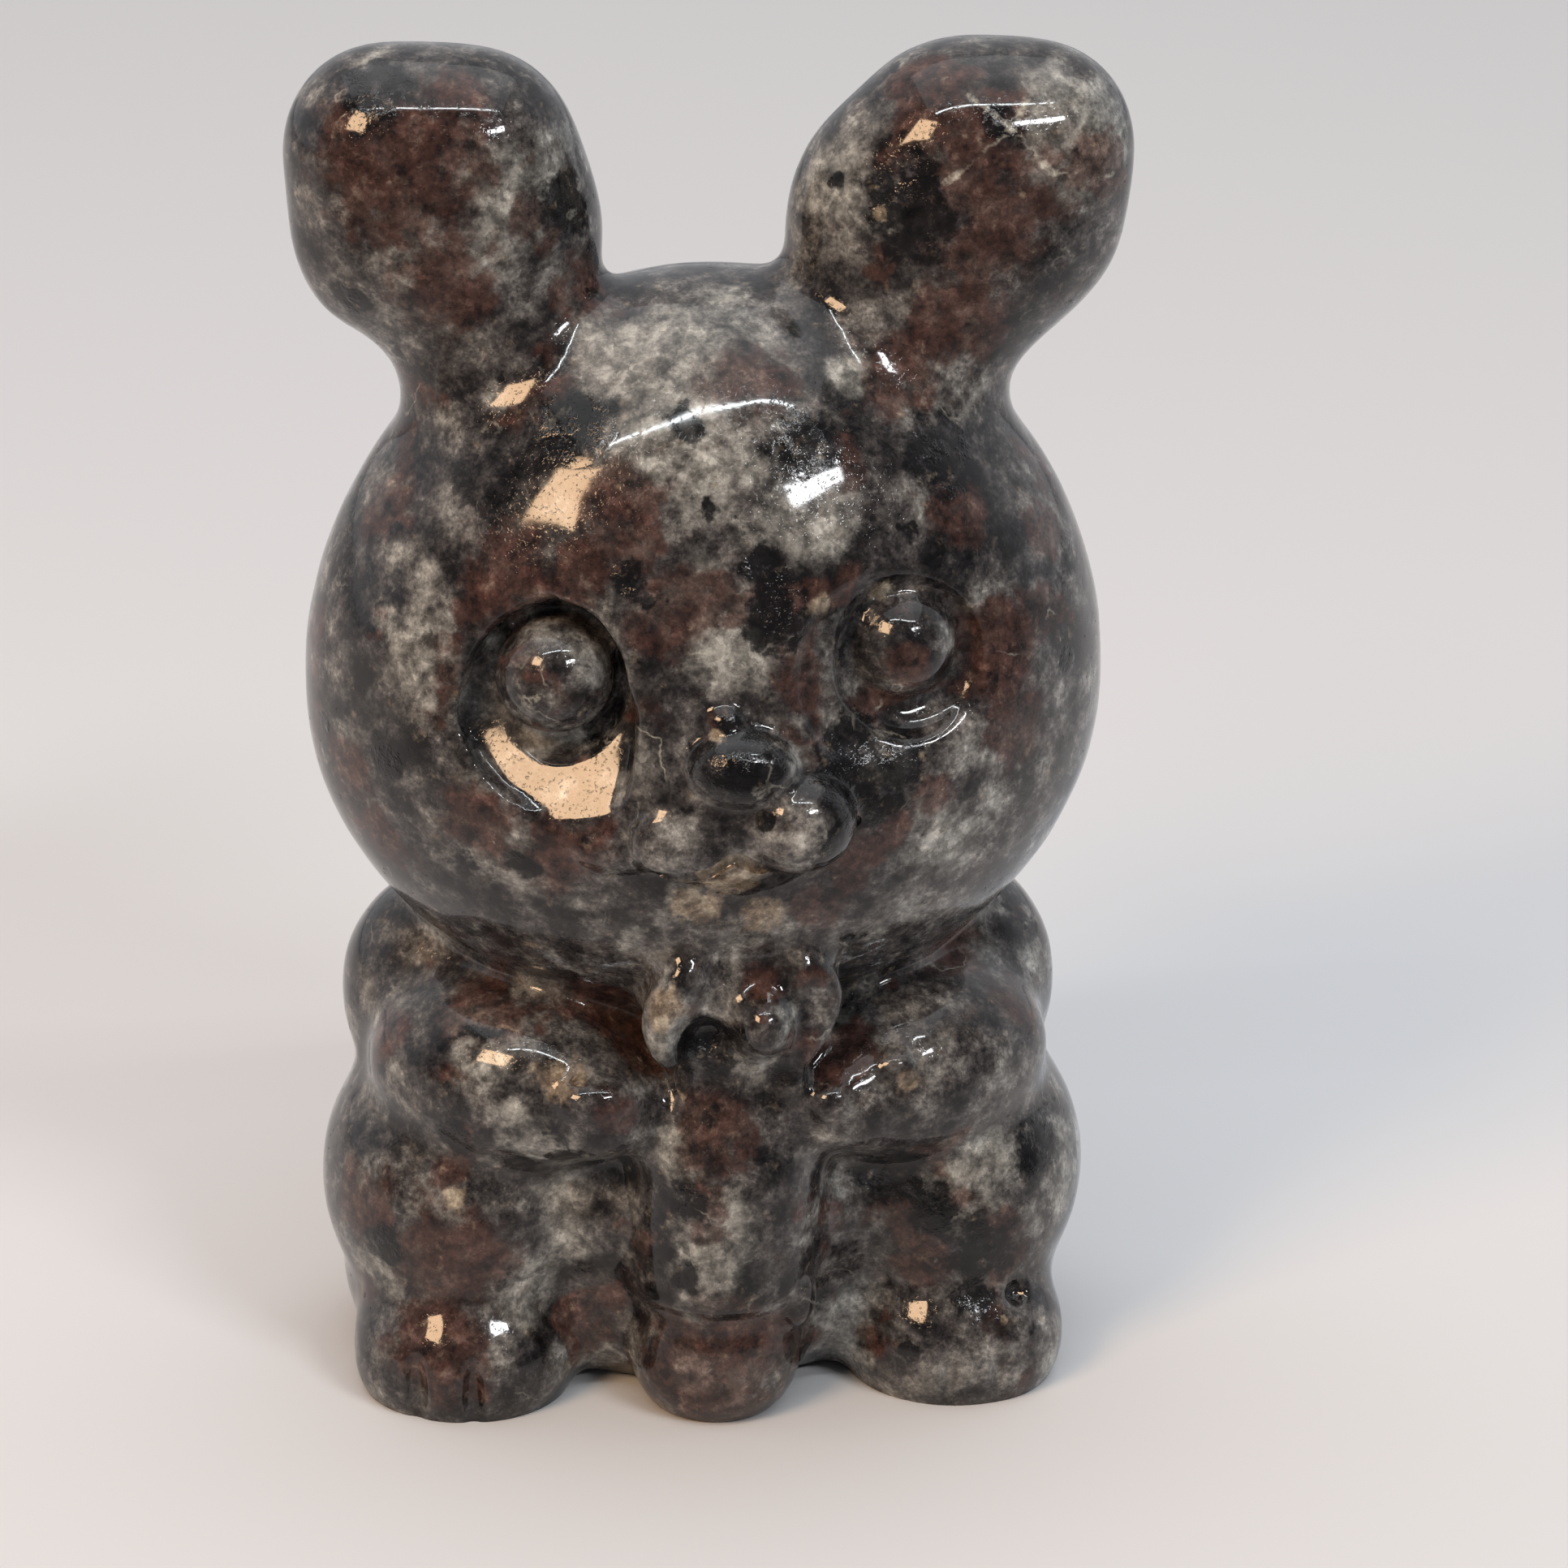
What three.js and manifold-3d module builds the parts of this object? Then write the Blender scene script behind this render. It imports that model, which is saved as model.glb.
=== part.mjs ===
import * as THREE from "three";
import { mergeVertices } from "three/addons/utils/BufferGeometryUtils.js";
import Module from "manifold-3d";

// A small seated bear carved from one piece of dark mottled stone and polished all over.
// It has two big squarish ears on short necks, bulging eyes in round hollows, a small muzzle
// with two lobes, and it clasps what reads best as a fish held head down between its legs.
// Millimetres, +Z up. The bear looks along -Y, and +X is its left-hand side. The origin lies
// on the ground under the middle of its overall box.

// Driving dimensions.
const HEIGHT = 63.5;
const HEAD_WIDTH = 37.2;
const HEAD_DEPTH = 26.4;
const HEAD_MIDDLE = 33.6; // height of the widest part of the head
const CROWN = 53.2; // height of the top of the head
const HEAD_LOW = 17.3; // height that the underside of the head would reach, were there no body
const HEAD_SIDE = -0.2; // the head sits a hair off the middle
const EAR_DEPTH = 11.6;
const EAR_LEAN = THREE.MathUtils.degToRad(43); // how far each ear's long axis leans outwards
const EAR_ROOT = 44.1; // height inside the head at which the ears' necks start
// Corners square off an ear: each is a ball, given by how far across, how far up and its radius.
const EARS = [
  { side: -1, spread: 12.1, length: 16, width: 13.8, root: 8.4, neck: 5,
    corners: [[-14.8, 59.1, 4.5], [-11.2, 58.5, 4.8], [-10.4, 54.9, 5.2], [-13.7, 55.5, 5.3]] },
  { side: 1, spread: 11, length: 17.8, width: 14.6, root: 7.1, neck: 5.2,
    corners: [[14.4, 58.9, 4.5], [11.1, 58.4, 4.9], [9.6, 55.5, 6], [13.4, 55.8, 5.2]] },
];
const FACE_TILT = THREE.MathUtils.degToRad(4); // the carver set the face a little askew
const EYE = 2.65; // radius of each eyeball
const EYE_SUNK = 1.9; // how far each eyeball's middle lies under the skull's front
// Each eye, and the middle, rim radius and depth of the hollow about it: the two aren't alike.
const EYES = [
  { across: -8.5, up: 37.8, dish: [-7.3, 36, 5.5, 2] },
  { across: 9.2, up: 38.1, dish: [8.6, 37.2, 5, 1.8] },
];
const FACE_ROUND = 26; // radius of the ball that fits the face best about the eyes
const ARM_SPAN = 34.2;
const ARM_TURN = THREE.MathUtils.degToRad(32); // how far each forearm is turned in to the fish
const HIP_SPAN = 35.9;
const FOOT_REACH = 10.4; // how far the feet come forward
const TOE_GROOVES = [11.6, 14.3]; // how far out of the middle each foot's two grooves lie
const FISH_REACH = 12; // how far the fish comes forward
const FISH_WIDTH = 9.4;
const LEDGE = 5.9; // height of the ledge behind the fish's head

// The skin: where its grid of cells lies, how fine it is, and how far it is refined.
const GRID_LOW = [-24, -22, -6];
const GRID_HIGH = [24, 20, 70];
const GRID_STEP = 2.2;
const FLATNESS = 0.08; // furthest that an edge's middle may lie from the carved surface
const REFINE_ROUNDS = 3;
const SHORTEST = 0.6; // edges shorter than this stay whole
const GROUND = 40; // how deep the block is that cuts the feet off level

const v = (x, y, z) => new THREE.Vector3(x, y, z);

// Every form below is a field: a function of a point that is negative inside the stone and
// grows by about 1 for each millimetre outwards.

const turnedBack = (turn) => new THREE.Matrix4().makeRotationFromEuler(turn).invert();

// An ellipsoid, with its own lower radius where the under half is longer or shorter.
function egg(centre, radii, { turn = new THREE.Euler(), under = radii.z } = {}) {
  const back = turnedBack(turn);
  const p = v();
  return (point) => {
    p.copy(point).sub(centre).applyMatrix4(back);
    const rz = p.z < 0 ? under : radii.z;
    const far = Math.hypot(p.x / radii.x, p.y / radii.y, p.z / rz);
    const slope = Math.hypot(p.x / radii.x ** 2, p.y / radii.y ** 2, p.z / rz ** 2);
    return slope < 1e-9 ? -Math.min(radii.x, radii.y, rz) : (far * (far - 1)) / slope;
  };
}

// A limb: a rod from one point to another whose radius changes along it.
function limb(from, to, r0, r1) {
  const along = v().subVectors(to, from);
  const lengthSq = along.lengthSq();
  const p = v();
  return (point) => {
    p.copy(point).sub(from);
    const t = THREE.MathUtils.clamp(p.dot(along) / lengthSq, 0, 1);
    return p.addScaledVector(along, -t).length() - THREE.MathUtils.lerp(r0, r1, t);
  };
}

// A ring lying flat: the radius of its middle line, and that of its round section.
function ring(centre, radius, r) {
  return (point) => {
    const out = Math.hypot(point.x - centre.x, point.y - centre.y) - radius;
    return Math.hypot(out, point.z - centre.z) - r;
  };
}

// Two values joined with a fillet about as wide as soft.
function blend(a, b, soft) {
  const near = Math.max(soft - Math.abs(a - b), 0) / soft;
  return Math.min(a, b) - (near ** 2 * soft) / 4;
}
const join = (soft, ...fields) => (p) => fields.reduce((sum, field) => blend(sum, field(p), soft), Infinity);
const carve = (soft, field, ...tools) => (p) =>
  tools.reduce((sum, tool) => -blend(-sum, tool(p), soft), field(p));

const bothSides = (make) => [-1, 1].map(make);

function ear({ side, spread, length, width, root, neck, corners }) {
  const rise = Math.hypot((length / 2) * Math.cos(EAR_LEAN), (width / 2) * Math.sin(EAR_LEAN));
  const middle = v(side * spread, 0.5, HEIGHT - rise);
  const turn = new THREE.Euler(0, side * EAR_LEAN, 0);
  const paddle = egg(middle, v(width / 2, EAR_DEPTH / 2, length / 2), { turn });
  const edges = corners.map(([x, z, r], i) => {
    const [nx, nz, nr] = corners[(i + 1) % corners.length];
    return limb(v(x, 0.5, z), v(nx, 0.5, nz), r, nr);
  });
  const stem = limb(v(side * root, 0, EAR_ROOT), middle, neck, neck * 0.8);
  return join(1.6, join(0.3, paddle, ...edges), stem);
}

function head() {
  const skull = egg(v(HEAD_SIDE, 0, HEAD_MIDDLE), v(HEAD_WIDTH / 2, HEAD_DEPTH / 2, CROWN - HEAD_MIDDLE), {
    under: HEAD_MIDDLE - HEAD_LOW,
  });
  return join(2, skull, ...EARS.map(ear));
}

// How far forward the front of the skull lies at a place on the face.
function faceAt(x, z) {
  const rz = z < HEAD_MIDDLE ? HEAD_MIDDLE - HEAD_LOW : CROWN - HEAD_MIDDLE;
  return (-HEAD_DEPTH / 2) * Math.sqrt(1 - (x / (HEAD_WIDTH / 2)) ** 2 - ((z - HEAD_MIDDLE) / rz) ** 2);
}

// A place on the face, so far sunk under the skull's front, with the face's tilt applied.
function onFace(x, z, sunk) {
  const turned = new THREE.Vector2(x, z - HEAD_MIDDLE).rotateAround(new THREE.Vector2(), FACE_TILT);
  const [tx, tz] = [turned.x, turned.y + HEAD_MIDDLE];
  return v(tx, faceAt(tx, tz) + sunk, tz);
}

// The direction straight out of the skull at a point on it.
function outOfSkull({ x, y, z }) {
  const half = v(HEAD_WIDTH / 2, HEAD_DEPTH / 2, CROWN - HEAD_MIDDLE);
  return v(x, y, z - HEAD_MIDDLE).divide(half).divide(half).normalize();
}

// A hollow scooped by a ball: its rim's radius and how deep its floor lies under the face.
function scoop([x, z, rim, depth]) {
  const place = onFace(x, z, 0);
  const rise = depth - rim ** 2 / (2 * FACE_ROUND);
  const ball = (rim ** 2 + rise ** 2) / (2 * rise);
  return egg(place.addScaledVector(outOfSkull(place), ball - depth), v(ball, ball, ball));
}

function face(stone) {
  const swelling = egg(onFace(0, 32.2, 2.2), v(5.6, 3.6, 4.8));
  const eyes = EYES.map(({ across, up }) => egg(onFace(across, up, EYE_SUNK), v(EYE, EYE, EYE)));
  const lobes = [
    egg(onFace(-2.4, 31, 0.4), v(2.8, 2.5, 2.1)),
    egg(onFace(2.6, 31.5, 0.1), v(2.7, 2.7, 2.4)),
  ];
  const nose = egg(onFace(0.2, 34.5, -0.5), v(2.4, 2.1, 1.9));
  const dished = carve(0.7, join(1.6, stone, swelling), ...EYES.map(({ dish }) => scoop(dish)));
  return join(0.6, dished, ...eyes, ...lobes, nose);
}

function arm(side) {
  const turn = new THREE.Euler(0, 0, side * ARM_TURN);
  const shoulder = egg(v(side * (ARM_SPAN / 2 - 5.7), 2.2, 17), v(5.8, 5.8, 6.2));
  const forearm = egg(v(side * 9.6, -5, 15.9), v(7.1, 4.9, 4.6), { turn });
  return join(1.5, shoulder, join(1.2, forearm, egg(v(side * 5.6, -8.6, 15.8), v(3, 2.9, 2.8))));
}

function leg(side) {
  const thigh = egg(v(side * (HIP_SPAN / 2 - 6.6), -0.9, 8.9), v(6.9, 8.3, 7.7));
  const heel = egg(v(side * 11.7, 0, 3.6), v(5.5, 7.4, 4.8));
  const foot = egg(v(side * 11.6, 4.9 - FOOT_REACH, 1.9), v(5.5, 5.1, 4.6));
  const grooves = TOE_GROOVES.map((x) =>
    limb(v(side * x, -FOOT_REACH - 0.2, -1), v(side * x, -FOOT_REACH + 0.1, 3.4), 0.7, 0.5),
  );
  return join(1, thigh, heel, carve(0.4, foot, ...grooves));
}

function body() {
  const trunk = egg(v(0, 1.4, 13), v(13.5, 8.8, 14));
  const belly = egg(v(0, -1.2, 9), v(11.5, 8, 6));
  const seat = egg(v(0, 0.6, 4), v(13, 9.3, 6));
  const chest = egg(v(0, 0, 18), v(10.5, 6.4, 6));
  const tail = egg(v(0, 9.2, 5.4), v(2.7, 2.4, 2.7));
  return join(0.9, join(1.5, trunk, belly, seat, chest), tail, ...bothSides(leg), ...bothSides(arm));
}

// The fish stands on its blunt head, set off by a ledge. Its body narrows to a waist between
// the paws, and its tail spreads on the chest: a lobe, a round knob and a fin.
function fish() {
  const front = -FISH_REACH + 4;
  const thick = FISH_WIDTH / 2;
  const belly = limb(v(0.4, front + 0.4, 12.6), v(0.2, front, LEDGE), thick + 0.1, thick - 0.5);
  const snout = egg(v(0, front + 0.1, 2.9), v(4, 4.1, 3.9));
  const waist = limb(v(0.4, front + 0.6, 14), v(0.5, front + 0.2, 18.5), 3.9, 3.3);
  const spread = egg(v(0.7, front - 0.2, 20.8), v(4, 3, 4.2));
  const lobe = egg(v(-2.5, front - 1.5, 21.4), v(1.6, 2.2, 3));
  const knob = egg(v(1.7, front - 2.1, 20.7), v(1.7, 2.3, 2));
  const fin = egg(v(3.9, front - 1, 21), v(1.4, 2.2, 3.2));
  const body = carve(0.5, join(1, belly, snout, waist, spread), ring(v(0.1, front, LEDGE - 0.5), 4.4, 0.55));
  return join(0.8, body, lobe, knob, fin);
}

const figure = face(join(0.9, head(), body(), fish()));

// The slope of the field, which points straight out of the surface.
function slopeAt(p) {
  const e = 0.02;
  const q = v();
  const at = (x, y, z) => figure(q.set(p.x + x, p.y + y, p.z + z));
  const along = (x, y, z) => at(x, y, z) - at(-x, -y, -z);
  return v(along(e, 0, 0), along(0, e, 0), along(0, 0, e)).divideScalar(2 * e);
}

// Moves a point straight onto the surface.
function settle(p) {
  for (let i = 0; i < 4; i++) {
    const slope = slopeAt(p);
    p.addScaledVector(slope, -figure(p) / Math.max(slope.lengthSq(), 0.05));
  }
  return p;
}

// Grid faces whose four corners alternate between stone and air would pinch the skin, so the
// corner nearest to the surface changes sides, until there is no such face.
function unpinch(values, every, at) {
  let changed = true;
  while (changed) {
    changed = false;
    every((...cell) => {
      for (const axis of [0, 1, 2]) {
        const around = [[0, 0], [1, 0], [1, 1], [0, 1]].map(([du, dw]) => {
          const c = [...cell];
          c[(axis + 1) % 3] += du;
          c[(axis + 2) % 3] += dw;
          return at(...c);
        });
        const [a, b, c, d] = around.map((i) => values[i] < 0);
        if (a !== c || b !== d || a === b) continue;
        const weakest = around.reduce((best, i) =>
          Math.abs(values[i]) < Math.abs(values[best]) ? i : best,
        );
        values[weakest] *= -1;
        changed = true;
      }
    }, 1);
  }
}

// A closed skin of even triangles over the zero of the field: one point in each grid cell
// that the surface passes through, and one quad across each grid edge that it crosses.
function skin(low, high, step) {
  const n = high.clone().sub(low).divideScalar(step).ceil().addScalar(1);
  const at = (i, j, k) => (k * n.y + j) * n.x + i;
  const corner = (i, j, k) => v(low.x + i * step, low.y + j * step, low.z + k * step);
  const every = (visit, less = 0) => {
    for (let k = 0; k < n.z - less; k++)
      for (let j = 0; j < n.y - less; j++) for (let i = 0; i < n.x - less; i++) visit(i, j, k);
  };
  const values = new Float64Array(n.x * n.y * n.z);
  every((i, j, k) => (values[at(i, j, k)] = figure(corner(i, j, k))));
  unpinch(values, every, at);
  const points = [];
  const pointOf = new Map();
  const ends = [[0, 0], [0, 1], [1, 0], [1, 1]];
  every((...cell) => {
    const middle = v(0, 0, 0);
    let crossings = 0;
    for (const axis of [0, 1, 2])
      for (const [a, b] of ends) {
        const start = [...cell];
        start[(axis + 1) % 3] += a;
        start[(axis + 2) % 3] += b;
        const end = [...start];
        end[axis]++;
        const [s, e] = [values[at(...start)], values[at(...end)]];
        if (s < 0 === e < 0) continue;
        middle.add(corner(...start).lerp(corner(...end), s / (s - e)));
        crossings++;
      }
    if (!crossings) return;
    pointOf.set(at(...cell), points.length);
    points.push(settle(middle.divideScalar(crossings)));
  }, 1);
  const faces = [];
  every((...cell) => {
    for (const axis of [0, 1, 2]) {
      const next = [...cell];
      next[axis]++;
      const inStone = values[at(...cell)] < 0;
      if (inStone === values[at(...next)] < 0) continue;
      const quad = [[0, 0], [1, 0], [1, 1], [0, 1]].map(([du, dw]) => {
        const c = [...cell];
        c[(axis + 1) % 3] -= du;
        c[(axis + 2) % 3] -= dw;
        return pointOf.get(at(...c));
      });
      if (!inStone) quad.reverse();
      const [a, b, c, d] = quad;
      if (points[a].distanceTo(points[c]) < points[b].distanceTo(points[d])) faces.push([a, b, c], [a, c, d]);
      else faces.push([a, b, d], [b, c, d]);
    }
  }, 1);
  return { points, faces };
}

// Splits each edge whose middle lies off the surface, and the triangles beside it.
function refine({ points, faces }) {
  const middles = new Map();
  const middleOf = (a, b) => {
    const key = a < b ? `${a} ${b}` : `${b} ${a}`;
    if (!middles.has(key)) {
      const halfway = points[a].clone().add(points[b]).multiplyScalar(0.5);
      const placed = settle(halfway.clone());
      const off = placed.distanceTo(halfway) > FLATNESS && points[a].distanceTo(points[b]) > SHORTEST;
      middles.set(key, off ? points.push(placed) - 1 : -1);
    }
    return middles.get(key);
  };
  const split = faces.flatMap(([a, b, c]) => {
    const mids = [middleOf(a, b), middleOf(b, c), middleOf(c, a)];
    const count = mids.filter((m) => m >= 0).length;
    if (count === 0) return [[a, b, c]];
    let [p, q, r] = [a, b, c];
    let [pq, qr, rp] = mids;
    // Turned until the first edge is split, and the last isn't unless all are.
    while (pq < 0 || (count === 2 && rp >= 0)) {
      [p, q, r] = [q, r, p];
      [pq, qr, rp] = [qr, rp, pq];
    }
    if (count === 1) return [[p, pq, r], [pq, q, r]];
    if (count === 2) return [[pq, q, qr], [p, pq, qr], [p, qr, r]];
    return [[p, pq, rp], [pq, q, qr], [rp, qr, r], [pq, qr, rp]];
  });
  return { points, faces: split };
}

// Evens out the points: each one moves towards its neighbours' middle, then back onto the surface.
function relax({ points, faces }) {
  const sums = points.map(() => v(0, 0, 0));
  const counts = points.map(() => 0);
  for (const face of faces)
    for (const i of face)
      for (const j of face)
        if (i !== j) {
          sums[i].add(points[j]);
          counts[i]++;
        }
  points.forEach((p, i) => settle(p.lerp(sums[i].divideScalar(counts[i]), 0.5)));
}

const wasm = await Module();
wasm.setup();

function solidOf(geometry) {
  const bare = geometry.clone();
  bare.deleteAttribute("normal");
  bare.deleteAttribute("uv");
  const merged = mergeVertices(bare);
  return new wasm.Manifold(
    new wasm.Mesh({
      numProp: 3,
      vertProperties: merged.attributes.position.array,
      triVerts: new Uint32Array(merged.index.array),
    }),
  );
}

function geometryOf(solid) {
  const mesh = solid.getMesh();
  const geometry = new THREE.BufferGeometry();
  geometry.setAttribute("position", new THREE.BufferAttribute(new Float32Array(mesh.vertProperties), 3));
  geometry.setIndex(new THREE.BufferAttribute(new Uint32Array(mesh.triVerts), 1));
  const loose = geometry.toNonIndexed();
  loose.computeVertexNormals();
  return loose;
}

let mesh = skin(v(...GRID_LOW), v(...GRID_HIGH), GRID_STEP);
relax(mesh);
relax(mesh);
for (let round = 0; round < REFINE_ROUNDS; round++) {
  mesh = refine(mesh);
  relax(mesh);
}
const carved = new THREE.BufferGeometry();
carved.setAttribute("position", new THREE.Float32BufferAttribute(mesh.points.flatMap((p) => p.toArray()), 3));
carved.setIndex(mesh.faces.flat());

const ground = new THREE.BoxGeometry(4 * GROUND, 4 * GROUND, GROUND).translate(0, 0, -GROUND / 2);
const stood = geometryOf(solidOf(carved).subtract(solidOf(ground)));
stood.computeBoundingBox();
const middle = stood.boundingBox.getCenter(v(0, 0, 0));
stood.translate(-middle.x, -middle.y, 0);

const stone = new THREE.MeshStandardMaterial({ color: 0x4a4340, roughness: 0.15, metalness: 0 });
const bear = new THREE.Mesh(stood, stone);
bear.name = "bear";

const part = new THREE.Group();
part.add(bear);
export default part;
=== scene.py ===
# %% [markdown]
# # A small stone bear, polished all over
# The real thing is one pebble-sized carving: a big round head with two paddle ears, a squat
# body with folded arms and two feet, and between them a fish, or something like one, held head
# down. Nothing moves and nothing is added to the stone, so the whole figure is one closed
# mesh. It is built the way a carver works: rough forms first, run together and rubbed smooth,
# then the scoops, domes and creases that are cut into them, and last the polish.

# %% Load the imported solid
import math
import bmesh
import bpy
import numpy as np
from mathutils import Matrix, Vector


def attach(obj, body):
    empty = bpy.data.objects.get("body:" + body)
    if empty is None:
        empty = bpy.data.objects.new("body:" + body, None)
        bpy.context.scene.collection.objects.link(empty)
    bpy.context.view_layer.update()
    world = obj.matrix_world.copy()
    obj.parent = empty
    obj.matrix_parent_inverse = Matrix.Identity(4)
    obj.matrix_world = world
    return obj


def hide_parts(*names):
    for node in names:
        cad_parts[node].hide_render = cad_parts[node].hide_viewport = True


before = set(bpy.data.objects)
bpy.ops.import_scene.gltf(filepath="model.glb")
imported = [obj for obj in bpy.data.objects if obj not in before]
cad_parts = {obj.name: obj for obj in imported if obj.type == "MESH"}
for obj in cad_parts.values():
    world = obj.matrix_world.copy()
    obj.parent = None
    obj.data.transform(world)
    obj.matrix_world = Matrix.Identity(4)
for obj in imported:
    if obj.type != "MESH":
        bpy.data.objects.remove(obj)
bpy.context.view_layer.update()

# %% [markdown]
# ## Sizes
# All forms are worked out from a few sizes of the figure, the same ones as the solid's. They
# are in millimetres, because voxels and smoothing are easier to judge at one unit to the
# millimetre. The finished mesh is shrunk to metres at the end. The front looks along -Y.

# %% The figure's sizes, in millimetres
HEIGHT = 63.5                     # from the table to the ears' tops
HEAD_WIDTH, HEAD_DEPTH = 37.2, 26.4
HEAD_MIDDLE, CROWN, HEAD_LOW = 33.6, 53.2, 17.3
HEAD_SIDE = -0.2                  # the head sits a hair off the middle
EAR_DEPTH, EAR_LEAN, EAR_BACK = 11.6, math.radians(43), 0.5
EARS = {  # side: how far out its middle is, length, width, where its neck starts, neck's half width
    -1: (12.1, 16.0, 13.8, 8.4, 5.0),
    1: (11.0, 17.8, 14.6, 7.1, 5.2),
}
EAR_CORNERS = {  # side: the balls that square off the paddle, each across, up and round
    -1: ((-14.8, 59.1, 4.9), (-11.2, 58.5, 5.3), (-13.7, 55.5, 5.7), (-10.4, 54.9, 5.6)),
    1: ((14.4, 58.9, 4.9), (11.1, 58.5, 5.4), (13.4, 55.8, 5.6), (9.6, 55.5, 6.5)),
}
EAR_TIP = 57                      # above this the paddles are as good as round from front to back
NECKS = ((-9.5, -4, 50.5), (8.5, -4, 50.5), (-13, -4, 48), (12.5, -4, 48))   # where they meet the crown
FACE_TILT = math.radians(4)       # the face was cut a little askew
EYE_LEVEL, EYE = 38.0, 2.7
ARM_SPAN, ARM_TURN = 34.2, math.radians(32)
HIP_SPAN, FOOT_REACH = 35.9, 10.4
CLEAR_TOES, WORN_TOES = (-11.6, -14.3), (10.8, 13.3)   # where the nicks are on each foot
LEDGE = 5.9                       # where the stalk's foot is set off
LEDGE_RING, LEDGE_WIDTH = 4.7, 1.15   # radii of the ring-shaped groove that does it
FRONT = -8.0                      # the stalk's middle, in front of the trunk
CENTRED = (0.22, 1.27)            # where the head's middle lies when the solid's box is centred
print(f"head {HEAD_WIDTH} x {HEAD_DEPTH} mm on hips {HIP_SPAN} mm wide")

# %% [markdown]
# ## Rough forms
# A carved form is nearly always a ball that was drawn out, so the two helpers here make a
# stretched ball and a limb. The limb is the skin round two balls, which edit mode's convex
# hull finds. Metaballs would blend as softly, but they can't be stretched and turned freely.

# %% A stretched ball, and a limb between two balls
def alone(obj):
    """Leaves only obj selected and active."""
    bpy.ops.object.select_all(action="DESELECT")
    obj.select_set(True)
    bpy.context.view_layer.objects.active = obj
    return obj


def ball(at, size, turn=(0, 0, 0), under=None, fine=5):
    """A ball of half sizes size about at; its lower half is under deep where that is given."""
    bpy.ops.object.select_all(action="DESELECT")
    bpy.ops.mesh.primitive_ico_sphere_add(subdivisions=fine, radius=1)
    obj = bpy.context.object
    bpy.ops.object.mode_set(mode="EDIT")
    bpy.ops.transform.resize(value=size, center_override=(0, 0, 0))
    if under:
        mesh = bmesh.from_edit_mesh(obj.data)
        for v in mesh.verts:
            v.select_set(v.co.z < 0)
        bmesh.update_edit_mesh(obj.data)
        bpy.ops.transform.resize(value=(1, 1, under / size[2]), center_override=(0, 0, 0))
    bpy.ops.object.mode_set(mode="OBJECT")
    obj.rotation_euler, obj.location = turn, at
    bpy.ops.object.transform_apply(location=True, rotation=True, scale=True)
    return obj


def joined(pieces):
    """The pieces as one object, their skins still passing through each other."""
    alone(pieces[0])
    for piece in pieces:
        piece.select_set(True)
    bpy.ops.object.join()
    return bpy.context.object


def wrap(pieces):
    """The tight skin round all the pieces together."""
    obj = joined(pieces)
    bpy.ops.object.mode_set(mode="EDIT")
    bpy.ops.mesh.select_all(action="SELECT")
    bpy.ops.mesh.convex_hull()
    bpy.ops.object.mode_set(mode="OBJECT")
    return obj


def limb(start, end, thick, thin):
    """A tapering limb with round ends."""
    return wrap([ball(start, (thick,) * 3), ball(end, (thin,) * 3)])

# %% [markdown]
# ## Running forms together
# Where two forms meet on the real figure, the rubbing has left a soft hollow. A voxel remesh
# turns overlapping balls into one skin, and the smooth modifier then wears the crease down.
# The blend's width is set by the voxel size and the number of rounds, so wide blends such as
# the ears' necks are made on their own, before forms that meet in a sharper line are added.

# %% Fuse, soften and cut
COARSE, MEDIUM, CLOSE, FINE = 0.4, 0.3, 0.25, 0.22     # voxel sizes in millimetres
BODY_VOXEL, MOUTH_VOXEL = 0.35, 0.15


def applied(obj, kind, **settings):
    """obj with one modifier of that kind added and applied."""
    alone(obj)
    modifier = obj.modifiers.new(kind.lower(), kind)
    for name, value in settings.items():
        setattr(modifier, name, value)
    bpy.ops.object.modifier_apply(modifier=modifier.name)
    return obj


def soften(obj, rounds, places=(), reach=1):
    """Smooths obj all over, or only about the places, fading out at that reach from them."""
    if not places:
        return applied(obj, "SMOOTH", factor=0.5, iterations=rounds)
    group = obj.vertex_groups.new(name="worn")
    for v in obj.data.vertices:
        gap = min((v.co - Vector(place)).length for place in places) / reach
        if gap < 1:
            group.add([v.index], (1 - gap * gap) ** 2, "REPLACE")
    applied(obj, "SMOOTH", factor=0.5, iterations=rounds, vertex_group=group.name)
    obj.vertex_groups.clear()
    return obj


def fuse(name, pieces, voxel, rounds):
    """The pieces as one closed skin of that voxel size, worn down by rounds of smoothing."""
    obj = applied(joined(pieces), "REMESH", mode="VOXEL", voxel_size=voxel)
    obj.name = name
    soften(obj, rounds)
    print(f"{name}: {len(obj.data.polygons)} faces")
    return obj


def cut(obj, tools, operation="DIFFERENCE"):
    """Cuts each tool out of obj, or keeps what they share, and throws the tool away."""
    for tool in tools:
        applied(obj, "BOOLEAN", operation=operation, solver="MANIFOLD", object=tool)
        bpy.data.objects.remove(tool)
    return obj

# %% [markdown]
# ## Head
# The skull is an upright egg, deeper above its widest level than below it. Each ear is a thick
# leaning paddle on a broad neck; the right one is longer, as on the real figure. The necks
# flow into the crown in wide hollows, so this stage has coarse voxels and many rounds.

# %% Skull, ears and their necks
def ear_corner(x, z, radius):
    return ball((x, EAR_BACK, z), (radius, radius * (0.98 if z > EAR_TIP else 0.8), radius))


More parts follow.
